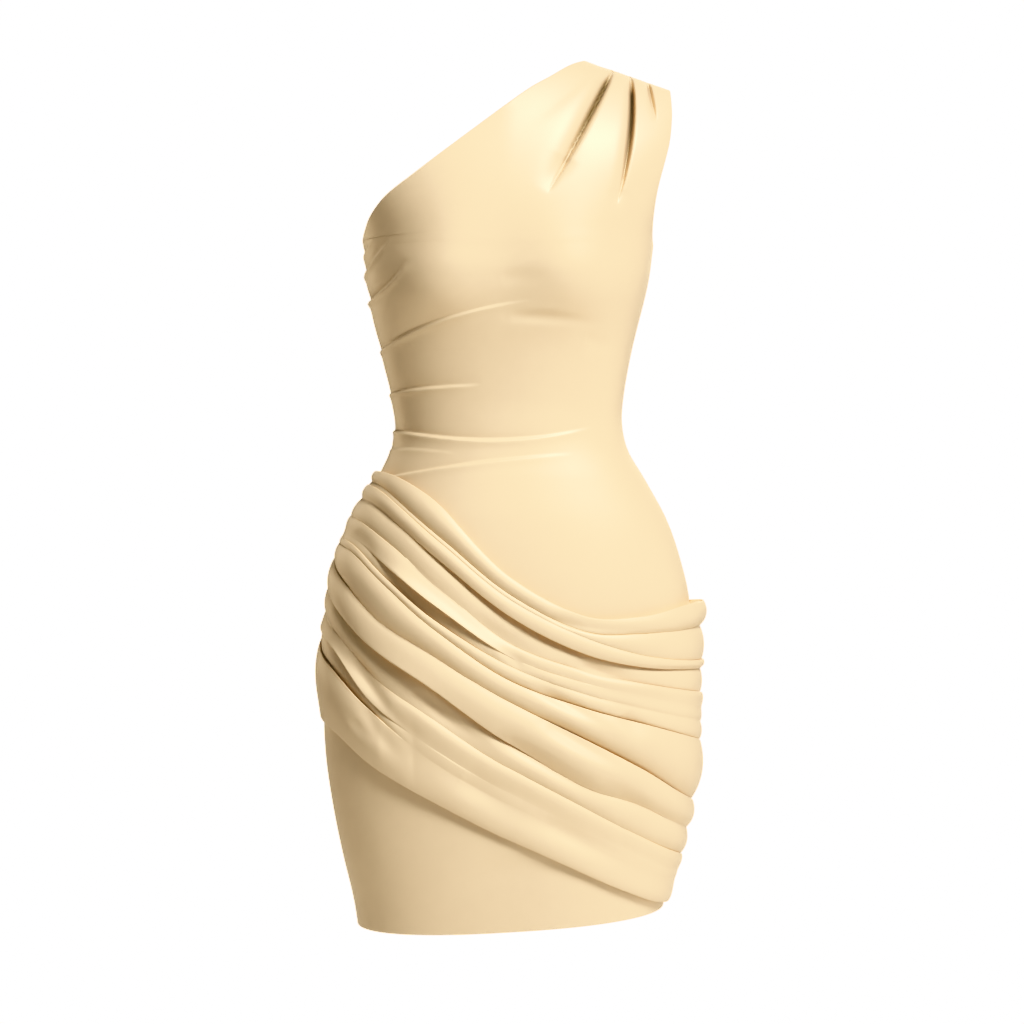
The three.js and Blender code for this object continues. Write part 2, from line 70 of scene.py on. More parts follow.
# Seams of the dress
SEAM_ANGLE = 96  # side seams, degrees round from the centre front
SEAM_HALF_GAP = 0.05  # degrees left open on each side of a side seam, which is 0.15 mm
SEAM_FLAT_ANGLE = 7  # creases die out over this much beside a side seam
SHOULDER_HALF_GAP = 0.15
UNDERARM = 705  # height at which neckline and armhole leave the side seams
CHEST_SPAN = 190  # measure of the levels above the underarm
TOP = UNDERARM + CHEST_SPAN
NECK_POINT_X = 79
NECK_POINT_Z = 901
SHOULDER_DROP = 0.352  # fall of the shoulder seam for each millimetre outwards
SHOULDER_Y = 5
SHOULDER_MIDDLE = 125
CHEST_CURVE = 1.25  # how squarely the chest turns over the shoulder
FRAME_CLOTH = 2  # the frame's origin is this far under the seam
HEM_RIGHT = 16  # height of the hem at each side seam
HEM_LEFT = 35
HEM_HALF_WIDTH = 156
HEM_DROP = 6.5  # how much lower it hangs at the centre front
HEM_EASE = 240  # height above which a row is level again
NUDGE = 0.5  # step over which a direction is measured
HALVINGS = 40
EDGE_FALL = 0.9  # share of a quarter circle's drop that rounds an edge
NEAR_STEPS = 2  # the inside stays under the lowest part of the face within this many steps
TURN_STEPS = 240  # places in each quarter of the table of distances round the form
TURN_LEVEL = 300  # height of the section that those distances are measured on
TURN_POWER = 1.18


def table(columns, *rows):
    """A table with named columns, as one array for each column."""
    return dict(zip(columns.split(), np.array(rows, float).T))


# Sections of the worn dress: half width, shift to the wearer's left, depths, squareness
SECTIONS = table(
    "level half mid front back square",
    (0, 154, 2, 108, 100, 2.4),
    (40, 159, 1, 110, 103, 2.4),
    (90, 171, 1, 112, 108, 2.4),
    (140, 180, 0, 113, 114, 2.4),
    (190, 186, -1, 114, 120, 2.4),
    (243, 188, -1, 114, 125, 2.35),
    (295, 187, 0, 114, 127, 2.3),
    (346, 183.5, 2.5, 113, 122, 2.3),
    (387, 174.5, 2.5, 110, 112, 2.3),
    (428, 161.5, 1.5, 105, 99, 2.3),
    (469, 139, 2, 97, 86, 2.3),
    (500, 122, 1, 90, 79, 2.3),
    (526, 117, 0, 87, 76, 2.3),
    (551, 119, -1, 87, 76, 2.3),
    (593, 127, -2, 92, 80, 2.3),
    (634, 136, -2, 101, 85, 2.3),
    (675, 144.5, -1, 108.2, 91.5, 2.3),
    (705, 148, 0, 109, 93, 2.3),
)

# Chest, from the underarm (0) up to the shoulder seam (1)
CHEST = table(
    "share half square",
    (0, 148, 2.3),
    (0.08, 150, 2.36),
    (0.25, 157, 2.6),
    (0.6, 174, 3),
    (0.8, 178, 3),
    (1, 176, 3),
)

# Neckline, seen from the front, from the right side seam up to the neck point
NECKLINE = table(
    "height x",
    (700, -160), (710, -151), (721, -146), (734, -140), (748, -129), (758, -118), (773, -97),
    (795, -68), (841, -8), (865, 23), (878, 43), (893, 64), (901, 79),
)
NECK_LOWER_BEHIND = 24
NECK_FARTHEST = 60

# Armhole, from the left side seam up to the tip of the shoulder
ARMHOLE = table(
    "share angle",
    (0, 96), (0.025, 85), (0.07, 78), (0.2, 71), (0.4, 66), (0.7, 65), (1, 67.5),
)

# Fullness of the cups: x and z of the middle, how far it stands out, and its reach across, up
# and down
CUPS = (
    (-72, 668, 12, 46, 62, 38),
    (70, 668, 12, 46, 62, 38),
)

# Rows and columns of the front and back
HEM_ROWS = (0, 0.3, 0.7, 1.2, 2, 4)
SKIRT_FROM = 10  # level at which the skirt's even rows start
SKIRT_TOP = 430  # level at which the bodice's closer rows start
CHEST_CROWDING = 1.5  # how much closer the rows lie near the shoulder seam
EDGE_COLUMNS = np.array([0, 0.001, 0.0025, 0.005])  # shares of the way across
EDGE_SHARE = 0.01  # share at which the other columns start
PLEATED = 0.68  # share of the way across the chest that the pleats lie at
PLEATED_REACH = 0.2
PLEATED_FROM = 620  # height from which the columns draw together towards the pleats

# Creases: x and z of the start, the bend and the end of each line, as seen from the front; width
# on the line's left hand and right hand, and depth. A pleat is a slit in a trough, a shade is a
# soft trough, and a tuck is a thin step that stands out on the right hand of its line, with a
# hollow on the left hand.
FRONT_PLEATS = (
    (106, 886, 87, 840, 40, 754, 2.6, 11, 20),
    (126, 881, 128.5, 815, 109, 744, 2.2, 6, 17),
    (144, 877, 146, 858, 150, 832, 1.8, 4, 10),
)
FRONT_SHADES = (
    (91, 893, 60, 856, 4, 812, 8, 16, 1.4),
    (62, 790, 54, 774, 30, 752, 8, 14, 2.4),
    (114, 760, 112, 748, 104, 730, 8, 9, 1.6),
    (0, 631, 52, 633, 100, 624, 6, 6, 2),
    (-8, 669, 20, 672, 52, 669, 8, 8, 1),
    (76, 610, 92, 606, 111, 604, 8, 8, 1),
    (-40, 78, 30, 90, 96, 70, 12, 12, 2.6),
    (-60, 60, 0, 66, 60, 52, 12, 12, 0.8),
)
FRONT_TUCKS = (
    (-152, 646, -118, 658, -94, 688, 8, 4, 5.6),
    (-152, 668, -138, 690, -114, 712, 6, 3, 4.6),
    (-152, 690, -146, 700, -134, 716, 5, 3, 2.6),
    (-142, 594, -75, 634, 25, 647, 9, 4, 2.9),
    (-130, 556, -80, 561, -26, 563, 12, 4, 3),
    (-126, 521, -10, 494, 88, 522, 9, 5, 3),
    (-136, 468, -50, 486, 66, 494, 11, 5, 2.4),
    (-122, 500, -88, 500, -50, 494, 6, 4, 0.9),
)
BACK_PLEATS = (
    (106, 886, 98, 848, 70, 790, 2.8, 11, 8),
    (126, 881, 127, 835, 114, 775, 2.8, 9, 7),
    (146, 876, 149, 855, 150, 838, 3, 5, 4),
)
BACK_SHADES = (
    (92, 893, 70, 860, 20, 820, 8, 14, 1.6),
    (-70, 300, 0, 286, 74, 296, 14, 14, 1.6),
    (-96, 366, -30, 352, 40, 356, 12, 12, 1.4),
    (-40, 92, 20, 100, 80, 86, 12, 12, 1.4),
    (-60, 420, 0, 410, 66, 414, 9, 9, 1.6),
    (30, 606, 60, 640, 66, 690, 9, 9, 1.2),
)
BACK_TUCKS = (
    (-142, 602, -84, 626, -20, 632, 8, 5, 2),
    (-128, 545, -70, 543, -8, 546, 9, 5, 2),
    (-132, 498, -60, 486, 40, 497, 9, 5, 2.2),
    (-140, 660, -112, 668, -84, 690, 6, 4, 1.6),
    (0, 522, 66, 519, 126, 536, 8, 5, -1.6),
    (10, 440, 80, 434, 154, 452, 9, 6, -1.6),
    (16, 572, 76, 566, 124, 580, 8, 5, -1.4),
)
DRAPE_SHADES = (
    (-154, 292, -124, 246, -84, 204, 7, 6, 4),
    (-140, 242, -124, 208, -92, 182, 8, 7, 3.4),
    (-150, 232, -140, 214, -120, 204, 6, 6, 2),
    (-96, 262, -50, 226, 0, 190, 8, 8, 3),
    (-46, 172, -20, 160, 8, 146, 12, 12, 2),
    (-6, 212, 46, 184, 104, 142, 10, 8, 4),
    (44, 332, 88, 315, 150, 322, 8, 4, 3),
    (30, 262, 66, 240, 112, 214, 7, 6, 3.4),
    (36, 228, 84, 196, 128, 172, 8, 7, 4),
    (70, 286, 104, 272, 150, 264, 7, 6, 3),
    (112, 238, 124, 216, 138, 204, 9, 9, 3),
    (-150, 420, -128, 388, -96, 350, 9, 9, 1.6),
    (-150, 372, -130, 340, -100, 316, 8, 8, 1.4),
    (-30, 330, 0, 306, 44, 288, 8, 7, 1.6),
    (96, 170, 120, 148, 144, 132, 9, 9, 1.4),
    (30, 134, 84, 104, 128, 84, 9, 9, 2.4),
)
PLEAT_CAUGHT = 0.4  # share of a pleat's depth where it starts, caught in its seam
PLEAT_OPENS = 4  # depth that it gains over its whole length, up to its full depth
PLEAT_SHARPNESS = 1.7
SLIT_WIDTH = 2.7
SLIT_START = 0.2  # share of the sine's half turn at which the slit's width starts
SLIT_LEAST = 0.2  # least share of its width
SLIT_SHARE = 0.5  # share of a pleat's depth that is its slit
# Painted shade in the pleats: cloth sunk in a pleat is coloured darker, standing in for the shade
# there
PAINTED_SHADE_DEPTH = 16  # depth in a pleat at which its cloth is darkest, in painted shade
PAINTED_SHADE_FALL = 1.5
SHADE_START = 0.02  # share of the line over which a shade is as shallow as at its end
SHADE_OPENS = 0.6  # how soon a shade gets deep, less than 1 for sooner
TUCK_EDGE = 1.5  # width of a tuck's step
TUCK_LIP = 0.35  # share of a tuck's depth that stands out
CREASE_STEPS = 16
CREASE_REACH = 3  # widths from its line that a crease reaches
BARE_EASE = 8  # the front's creases die out over this much under the draped panel

# Lines of the draped panel from its top edge down: heights at nine angles round the front, and
# at six others the lip, which is how far the lower pleat stands over the upper one. Below zero,
# the upper pleat hangs over the lower one. The sink is how deep the line lies between its pleats.
STATIONS = np.array([-96, -64, -40, -20, 0, 20, 40, 64, 96], float)
LIP_STATIONS = np.array([-80, -50, -25, 5, 35, 75], float)
DRAPE_LINES = {
    "top edge": ((477, 475, 463, 436, 371, 333, 332, 342, 346), (2.4, 3, 3, 2.6, 3.4, 6), 0),
    "first pleat": ((468, 463, 443, 409, 354, 318, 315, 319, 321), (2, 2.8, 2.8, 4.4, 6, 0), 2.6),
    "thin roll": ((464, 459, 439, 404, 349, 313, 294, 287, 286), (4, 4.6, 4.2, 3, 3.4, 4), 1.4),
    "second pleat": ((451, 445, 424, 387, 333, 296, 282, 278, 277), (0, 0, -4.5, -9, -6, -3), 3.6),
    "third pleat": ((433, 426, 402, 361, 307, 279, 266, 257, 250), (4, 2.4, 0, 2, 5, 4), 3),
    "pocket top": ((419, 409, 381, 343, 294, 267, 253, 242, 234), (0, -1.5, -12, 1, 0, 0), 0),
    "pocket roll": ((413, 403, 370, 329, 285, 256, 241, 229, 220), (1, 2.5, 4.5, 2, 0, 0), 1),
    "long pleat": ((406, 396, 363, 320, 271, 242, 226, 212, 199), (4, 5, 5, 6, 7, 5), 1.6),
    "fourth pleat": ((398, 366, 327, 295, 250, 211, 182, 155, 136), (4.6, 3.6, 1.2, 5.6, 8.5, 6), 2),
    "wide overhang": ((369, 336, 298, 263, 209, 164, 146, 125, 110), (1, -9, -14, -3, -1, 0), 1.2),
    "low pleat": ((345, 313, 269, 233, 184, 144, 117, 97, 84), (0, 0.5, 0.8, 1, 2.6, 5), 2),
    "wedge top": ((325, 299, 244, 205, 159, 121, 97, 78, 69), (-5, -7.5, 0, 0, 0, 0), 0),
    "wedge roll": ((312, 278, 235, 192, 147, 110, 87, 69, 60), (3.5, 4.6, 0, 0, 0, 0), 0),
    "lower edge": ((234, 216, 181, 150, 112, 80, 59, 44, 39), (0, -0.8, -1.8, -2.2, -2.2, -1.6), 0),
}

# Mean height of the draped panel over the front, at each side and in the middle
LOFT = table(
    "level right middle left",
    (40, 2.3, 3.6, 4),
    (120, 2.4, 4.2, 8),
    (190, 3, 9, 10),
    (250, 4, 10, 13),
    (340, 5.5, 10, 12),
    (400, 5.5, 8, 10),
    (480, 3.2, 3.6, 8),
)
DRAPE_COLUMNS = 221
DRAPE_LEAST = 2.1  # lowest height of its face over the front
DRAPE_UNDER = 0.7  # height of its inside over the front, where the cloth lies closest
DRAPE_CROWN = 0.11  # rise in the middle of a pleat for each millimetre of its width
DRAPE_CROWN_MOST = 5
PLEAT_TURN = 2.6  # how late a pleat turns in to the line below it
CROWN_LIP = 2.4  # lip at which a line is a fold in full, and its pleats are crowned
FLAT_PASSES = 6  # times that the lines with no fold are evened out
FOLD_RADIUS = 0.95
FOLD_SHARE = 0.42  # most of a lip that its fold's radius takes
UNDERCUT = 3.2  # how far the cloth runs back under a fold
UNDERCUT_LIP = 2.6  # lip at which it runs back in full
UNDER_ROWS = np.array([0, 0.12, 0.5, 0.85])[:, None]  # shares of the way out from under a fold
UNDER_BEND = 0.8
FOLD_STEPS = 6
FOLD_EASE = 0.6  # half height of a line that has no lip
HEM_ROLL = 0.75  # half thickness of the lower edge
PINCH_ANGLE = 6
PINCH_LOFT = 2.3
INSIDE_REACH = 3.5  # the inside stays under the lowest part of the face within this much
BAND_LEAST = 0.4  # least depth of a pleat between two lines

# Satin: each thread's ties are moved two threads on, and a tie comes every five threads
TIE_STEP = 2
TIE_REPEAT = 5
FLOAT_ROUND = 0.35
UNEVENNESS = 60  # faint patches of tone to the metre
UNEVEN_TONE = 0.955
WRONG_SIDE_ROUGHNESS = 0.75
METALLIC = 0.33
SPECULAR = 0.6
SHEEN = 0.05
SHEEN_ROUGHNESS = 0.4
BUMP_STRENGTH = 0.25

# Lights: name, azimuth, elevation, distance, size and colour
LIGHTS = (
    ("Key", 33, 48, 4.2, 1.5, (1, 0.985, 0.96)),
    ("Side", 92, 2, 3.6, 2.4, (1, 0.985, 0.95)),
    ("Rim", -130, 8, 2.4, 1.2, (1, 0.95, 0.86)),
    ("Back", 168, 24, 4, 2.4, (1, 0.97, 0.92)),
)
ROOM_COLOUR = (1, 0.94, 0.74, 1)
FLOOR_COLOUR = (0.75, 0.74, 0.72, 1)
FLOOR_ROUGHNESS = 0.9
FLOOR_RADIUS = 4
FLOOR_CORNERS = 96

# Camera's response to red, green and blue: light, and how bright it is shown
WHITE = 2.2
RESPONSE = (
    ((0.15, 0.1), (0.38, 0.345), (0.5, 0.475), (0.92, 0.85), (1.1, 0.945), (1.4, 0.985), (1.8, 1)),
    ((0.1, 0.058), (0.285, 0.25), (0.365, 0.345), (0.68, 0.665), (0.82, 0.76), (1.05, 0.81),
     (1.5, 0.87)),
    ((0.05, 0.016), (0.16, 0.118), (0.21, 0.178), (0.4, 0.4), (0.49, 0.475), (0.65, 0.515),
     (0.95, 0.6)),
)


def curve(rows, along, column):
    """A smooth curve through one column of a table. Between two rows it is the cubic whose
    slopes there are those of the rows on either side, and past its ends it stays level."""
    at, value = rows[along], rows[column]
    after = np.minimum(np.arange(len(at)) + 1, len(at) - 1)
    before = np.maximum(np.arange(len(at)) - 1, 0)
    slope = (value[after] - value[before]) / (at[after] - at[before])

    def place(where):
        x = np.clip(where, at[0], at[-1])
        i = np.searchsorted(at[1:-1], x)
        width = at[i + 1] - at[i]
        p = (x - at[i]) / width
        q = 1 - p
        rising = value[i] * q * q * (1 + 2 * p) + slope[i] * width * p * q * q
        return rising + value[i + 1] * p * p * (1 + 2 * q) - slope[i + 1] * width * p * p * q

    return place


section = {name: curve(SECTIONS, "level", name) for name in ("half", "mid", "front", "back", "square")}
chest_half = curve(CHEST, "share", "half")
chest_square = curve(CHEST, "share", "square")
neck_x = curve(NECKLINE, "height", "x")
arm_angle = curve(ARMHOLE, "share", "angle")
loft_of = {name: curve(LOFT, "level", name) for name in ("right", "middle", "left")}


def lerp(a, b, p):
    """The value a share p of the way from a to b."""
    return a + (b - a) * p


def ridge_height(x):
    """The shoulder seam falls evenly outwards from the neck point."""
    return NECK_POINT_Z - SHOULDER_DROP * (np.abs(x) - NECK_POINT_X)


def chest_share(level):
    """Share of the way from the underarm up to the shoulder seam."""
    return np.clip((level - UNDERARM) / CHEST_SPAN, 0, 1)


def form_point(angle, level):
    """Points of the worn form. Across, a section is half the width times the sine to the power
    two over the squareness; from front to back it is the depth times the cosine to that power.
    Above the underarm the depth closes in on the shoulder seam, and the height rises to it."""
    angle, level = np.broadcast_arrays(angle, level)
    sine, cosine = np.sin(np.radians(angle)), np.cos(np.radians(angle))
    low = np.minimum(level, UNDERARM)
    share = chest_share(level)
    square = np.where(share > 0, chest_square(share), section["square"](low))
    half = np.where(share > 0, chest_half(share), section["half"](low))
    depth = np.where(cosine >= 0, section["front"](low), section["back"](low))
    x = section["mid"](low) + half * np.sign(sine) * np.abs(sine) ** (2 / square)
    reach = -depth * np.sign(cosine) * np.abs(cosine) ** (2 / square)
    y = lerp(SHOULDER_Y, reach, (1 - share * share) ** (CHEST_CURVE / 2))
    z = np.where(share > 0, lerp(UNDERARM, ridge_height(x), share), level)
    return np.stack([x, y, z], -1)


def turn_table():
    """Angles in steps that are even along a section, and the distance round it at each. In each
    quarter turn the angle goes as the share to a power, over the sum of it and of the rest's."""
    q = np.linspace(0, 1, TURN_STEPS, endpoint=False)
    share = q**TURN_POWER / (q**TURN_POWER + (1 - q) ** TURN_POWER)
    angle = np.concatenate([90 * (quarter + share) for quarter in range(-2, 5)])
    step = np.diff(form_point(angle, TURN_LEVEL), axis=0)
    distance = np.insert(np.linalg.norm(step, axis=1).cumsum(), 0, 0)
    return angle, distance - np.interp(0, angle, distance)


TURN_ANGLE, TURN_DISTANCE = turn_table()


def around(angle):
    """The distance round the form from the centre front, in millimetres, at an angle."""
    return np.interp(angle, TURN_ANGLE, TURN_DISTANCE)


def angle_at(distance):
    """The angle at a distance round the form."""
    return np.interp(distance, TURN_DISTANCE, TURN_ANGLE)


def form_normal(angle, level):
    """The outward direction: across the way round the form and the way up it."""
    across = form_point(angle + NUDGE, level) - form_point(angle - NUDGE, level)
    up = form_point(angle, np.minimum(level + NUDGE, TOP)) - form_point(angle, level - NUDGE)
    normal = np.cross(across, up)
    normal /= np.linalg.norm(normal, axis=-1, keepdims=True)
    ridge = np.array([SHOULDER_DROP, 0, 1]) / math.hypot(SHOULDER_DROP, 1)
    return np.where((level >= TOP)[..., None], ridge, normal)


def cup_fullness(x, z):
    """Each cup is a round rise that falls off as the exponential of minus its distance squared."""
    rise = 0
    for cup_x, cup_z, out, across, up, down in CUPS:
        high = (z - cup_z) / np.where(z > cup_z, up, down)
        rise = rise + out * np.exp(-high**2 - ((x - cup_x) / across) ** 2)
    return rise


def line_places(line, x, z):
    """For each point, the nearest place of a crease's line: its share of the line, the distance
    to its left hand, and the distance past its ends. The line is a curve with one bend."""
    p = np.linspace(0, 1, CREASE_STEPS + 1)[:, None]
    corners = np.array(line, float).reshape(3, 2)
    way = (1 - p) ** 2 * corners[0] + 2 * p * (1 - p) * corners[1] + p**2 * corners[2]
    step = np.diff(way, axis=0)
    length = np.linalg.norm(step, axis=1)
    offset = np.stack([x.ravel(), z.ravel()], -1)[:, None] - way[None, :-1]
    run = (offset * step).sum(-1) / length**2
    held = np.clip(run, 0, 1)
    side = (step[:, 0] * offset[..., 1] - step[:, 1] * offset[..., 0]) / length
    past = (run - held) * length
    nearest = np.argmin(side**2 + past**2, axis=1)[:, None]
    pick = [np.take_along_axis(a, nearest, 1)[:, 0].reshape(x.shape) for a in (held, side, past)]
    share = (pick[0] + nearest[:, 0].reshape(x.shape)) / CREASE_STEPS
    return share, pick[1], pick[2]


def near_line(line, width, x, z):
    """Points close enough to a crease's line to be moved by it."""
    reach = CREASE_REACH * width
    xs, zs = line[::2], line[1::2]
    inside_x = (x > min(xs) - reach) & (x < max(xs) + reach)
    return inside_x & (z > min(zs) - reach) & (z < max(zs) + reach)


def pleat_shape(t, side, share):
    """A slit in a soft trough. The trough is minus the exponential of minus t to a power. The slit
    is that of minus the square of the distance over its own width, which goes as a sine along
    the line."""
    trough = np.exp(-(t**PLEAT_SHARPNESS))
    width = SLIT_WIDTH * np.maximum(np.sin(np.pi * lerp(SLIT_START, 1, share)), SLIT_LEAST)
    slit = np.exp(-((side / width) ** 2))
    caught = np.minimum(PLEAT_CAUGHT + PLEAT_OPENS * share, 1)
    return -caught * lerp(trough, slit, SLIT_SHARE)


def shade_shape(t, side, share):
    """A soft trough: minus the exponential of minus t squared. It is deepest about a third of the
    way along its line."""
    return -np.sin(np.pi * np.clip(share, SHADE_START, 1) ** SHADE_OPENS) * np.exp(-t * t)


def tuck_shape(t, side, share):
    """A thin step. On the right hand it stands out a little and falls off as the exponential of
    minus t squared. On the left hand it drops into a hollow that comes back as that of minus t."""
    edge = np.exp(-((side / TUCK_EDGE) ** 2))
    hollow = TUCK_LIP * edge - (1 - edge) * np.exp(-t)
    return np.where(side > 0, hollow, TUCK_LIP * np.exp(-t * t))


def creased(pleats, shades, tucks, x, z):
    """How far the creases move the cloth, with t the distance from a crease's line over its width
    on that hand. Each fades as one minus the cube of the share of its line, and past its ends as
    the exponential of minus the distance squared."""
    moved = np.zeros(x.shape)
    for rows, shape in ((pleats, pleat_shape), (shades, shade_shape), (tucks, tuck_shape)):
        for *line, left, right, depth in rows:
            near = near_line(line, max(left, right), x, z)
            if not near.any():
                continue
            share, side, past = line_places(line, x[near], z[near])
            t = np.abs(side) / np.where(side > 0, left, right)
            fade = (1 - share**3) * np.exp(-((past / right) ** 2))
            moved[near] += depth * fade * shape(t, side, share)
    return moved


def drape_line(name, angle):
    """Level, lip and sink of one line of the draped panel at an angle."""
    heights, lips, sink = DRAPE_LINES[name]
    rows = {"at": around(STATIONS), "level": np.array(heights, float)}
    lip_rows = {"at": around(LIP_STATIONS), "lip": np.array(lips, float)}
    distance = around(angle)
    return curve(rows, "at", "level")(distance), curve(lip_rows, "at", "lip")(distance), sink


def from_front(angle):
    """The same angle, from minus to plus half a turn."""
    return np.where(angle > 180, angle - 360, angle)


def bare_share(angle, level):
    """1 where the front shows, easing to 0 where the draped panel covers it."""
    turned = from_front(angle)
    top, bottom = drape_line("top edge", turned)[0], drape_line("lower edge", turned)[0]
    above = np.clip((level - top + BARE_EASE) / BARE_EASE, 0, 1)
    below = np.clip((bottom + BARE_EASE - level) / BARE_EASE, 0, 1)
    return np.where(np.abs(turned) > SEAM_ANGLE, 1, np.maximum(above, below))


def seam_fade(angle):
    """1 over a panel, easing to 0 at its side seams."""
    return np.clip(np.abs(np.abs(from_front(angle)) - SEAM_ANGLE) / SEAM_FLAT_ANGLE, 0, 1)


def grid_lengths(points):
    """Distances along the rows and up the columns of a grid."""
    steps = [np.linalg.norm(np.diff(points, axis=axis), axis=-1) for axis in (1, 0)]
    return np.insert(steps[0].cumsum(1), 0, 0, 1), np.insert(steps[1].cumsum(0), 0, 0, 0)


def edge_distance(points):
    """Distance of each point of a grid from the nearest border, measured along the grid."""
    across, up = grid_lengths(points)
    sides = np.minimum(across, across[:, -1:] - across)
    return np.minimum(sides, np.minimum(up, up[-1:] - up))


def edge_drop(distance, radius):
    """A rounded edge: most of a quarter circle of this radius."""
    into = np.clip(radius - distance, 0, radius)
    return EDGE_FALL * (radius - np.sqrt(radius**2 - into**2))


def lowest_near(values, reach):
    """The lowest value within this many steps along both ways of a grid."""
    padded = np.pad(values, reach, mode="edge")
    window = (2 * reach + 1, 2 * reach + 1)
    return np.lib.stride_tricks.sliding_window_view(padded, window).min((-2, -1))


def rim(fine, coarse, flip):
    """Triangles between a border of the face and the border behind it, which has every second
    point. They turn with the face's border, or against it where flip is set."""
    a, b, c = fine[0:-1:2], fine[1::2], fine[2::2]
    d, e = coarse[:-1], coarse[1:]
    triangles = np.concatenate([np.stack(t, -1) for t in ((a, b, d), (b, e, d), (b, c, e))])
    return triangles[:, ::-1] if flip else triangles


def quads(index):
    """The quads of a grid of point numbers, with rows going up and columns going round."""
    corners = index[:-1, :-1], index[:-1, 1:], index[1:, 1:], index[1:, :-1]
    return np.stack([c.ravel() for c in corners], -1)


def cut_places(points):
    """Each point's place in the flat cloth, in metres from the middle of its lower edge."""
    across, up = grid_lengths(points)
    middle = across[:, across.shape[1] // 2, None]
    return np.stack([across - middle, up], -1).reshape(-1, 2) * MILLIMETRE


def place_object(name, data):
    """An object at the origin, in the scene."""
    obj = bpy.data.objects.new(name, data)
    bpy.context.scene.collection.objects.link(obj)
    return obj


def keep_value(mesh, name, values):
    """An attribute that holds one value for each point of a mesh."""
    mesh.attributes.new(name, "FLOAT", "POINT").data.foreach_set("value", values)


def shell(name, face, inside, depth=0.0):
    """One closed piece of cloth from a grid of points on its face and a grid of every second
    point on its inside. How deep its face lies in a pleat is kept as an attribute, which sets
    the painted shade in the pleats."""
    face_index = np.arange(face[..., 0].size).reshape(face.shape[:2])
    inside_index = face_index.size + np.arange(inside[..., 0].size).reshape(inside.shape[:2])
    faces = np.concatenate([quads(face_index), quads(inside_index)[:, ::-1]])
    rims = np.concatenate([
        rim(face_index[0], inside_index[0], True),
        rim(face_index[-1], inside_index[-1], False),
        rim(face_index[:, 0], inside_index[:, 0], False),
        rim(face_index[:, -1], inside_index[:, -1], True),
    ])
    points = np.concatenate([face.reshape(-1, 3), inside.reshape(-1, 3)])
    origin = np.array([SHOULDER_MIDDLE, SHOULDER_Y, ridge_height(SHOULDER_MIDDLE) - FRAME_CLOTH])
    mesh = bpy.data.meshes.new(name)
    mesh.from_pydata((points - origin) * MILLIMETRE, [], faces.tolist() + rims.tolist())
    mesh.polygons.foreach_set("use_smooth", np.ones(len(mesh.polygons), bool))
    # how deep the face is sunk in a pleat, for the painted shade there; the inside gets none
    deep = np.broadcast_to(depth, face.shape[:2]).ravel()
    keep_value(mesh, "wrong_side", np.repeat([0.0, 1.0], [face_index.size, inside_index.size]))
    keep_value(mesh, "deep", np.pad(deep, (0, inside_index.size)))
    cut = np.concatenate([cut_places(face), cut_places(inside)])
    corner = np.empty(len(mesh.loops), np.int32)
    mesh.loops.foreach_get("vertex_index", corner)
    mesh.uv_layers.new(name="cloth").data.foreach_set("uv", cut[corner].ravel())
    mesh.validate()
    return place_object(name, mesh)


def sloped_level(angle, level):
    """The hem slopes from side to side, and the rows above it come back to level."""
    x = form_point(angle, 0)[..., 0]
    drop = HEM_DROP * np.maximum(np.cos(np.radians(angle)), 0)
    hem = lerp(HEM_RIGHT, HEM_LEFT, (x + HEM_HALF_WIDTH) / (2 * HEM_HALF_WIDTH)) - drop
    return np.where(level >= HEM_EASE, level, lerp(hem, HEM_EASE, level / HEM_EASE))


def neck_angle(share, lower):
    """How far round the neckline is at each share of the way up the chest, by halving."""
    start = np.full(share.shape, -float(SEAM_ANGLE))
    end = np.full(share.shape, float(NECK_FARTHEST))
    for _ in range(HALVINGS):
        angle = (start + end) / 2
        point = form_point(angle, UNDERARM + CHEST_SPAN * share)
        beyond = point[..., 0] > neck_x(point[..., 2] + lower * share * (1 - share))
        start, end = np.where(beyond, start, angle), np.where(beyond, angle, end)
    return start


def panel_levels(skirt, bodice, chest):
    """Levels of the rows: a few close to the hem, then even steps over the skirt and the bodice,
    and closer and closer ones up to the shoulder seam."""
    share = np.sin(np.pi / 2 * np.linspace(0, 1, chest + 1) ** CHEST_CROWDING)
    return np.concatenate([
        HEM_ROWS,
        np.linspace(SKIRT_FROM, SKIRT_TOP, skirt, endpoint=False),
        np.linspace(SKIRT_TOP, UNDERARM, bodice, endpoint=False),
        UNDERARM + CHEST_SPAN * share,
    ])


def column_shares(count, fine):
    """Places of the columns along a row. They lie closer by the given factor where the shoulder's
    pleats run down, and closest at both ends, where the edges are rounded."""
    p = np.linspace(0, 1, count)
    density = 1 + (fine - 1) * np.exp(-(((p - PLEATED) / PLEATED_REACH) ** 4))
    shares = np.concatenate([[0], np.cumsum((density[1:] + density[:-1]) / 2)])
    shares = np.interp(np.linspace(0, 1, count), shares / shares[-1], p)
    between = lerp(EDGE_SHARE, 1 - EDGE_SHARE, shares)
    return np.concatenate([EDGE_COLUMNS, between, 1 - EDGE_COLUMNS[::-1]])


def panel_grid(levels, columns, fine, lower, behind):
    """Angles and levels of a panel's grid, from one edge to the other in each row."""
    share = chest_share(levels)
    drawn = np.clip((levels - PLEATED_FROM) / (UNDERARM - PLEATED_FROM), 0, 1)[:, None]
    shares = lerp(column_shares(columns, 1), column_shares(columns, fine), drawn)
    seam = SEAM_ANGLE - SEAM_HALF_GAP
    neck = np.where(share > 0, neck_angle(share, lower), -seam)
    arm = np.where(share > 0, arm_angle(share), seam)
    start, end = np.maximum(neck, -seam), np.minimum(arm, seam)
    if behind:
        shares = 1 - shares[:, ::-1]
        start, end = 180 - end, 180 - start
        start = np.maximum(start, SEAM_ANGLE + SEAM_HALF_GAP)
        end = np.minimum(end, 360 - SEAM_ANGLE - SEAM_HALF_GAP)
    angle = angle_at(lerp(around(start)[:, None], around(end)[:, None], shares))
    return angle, sloped_level(angle, levels[:, None])


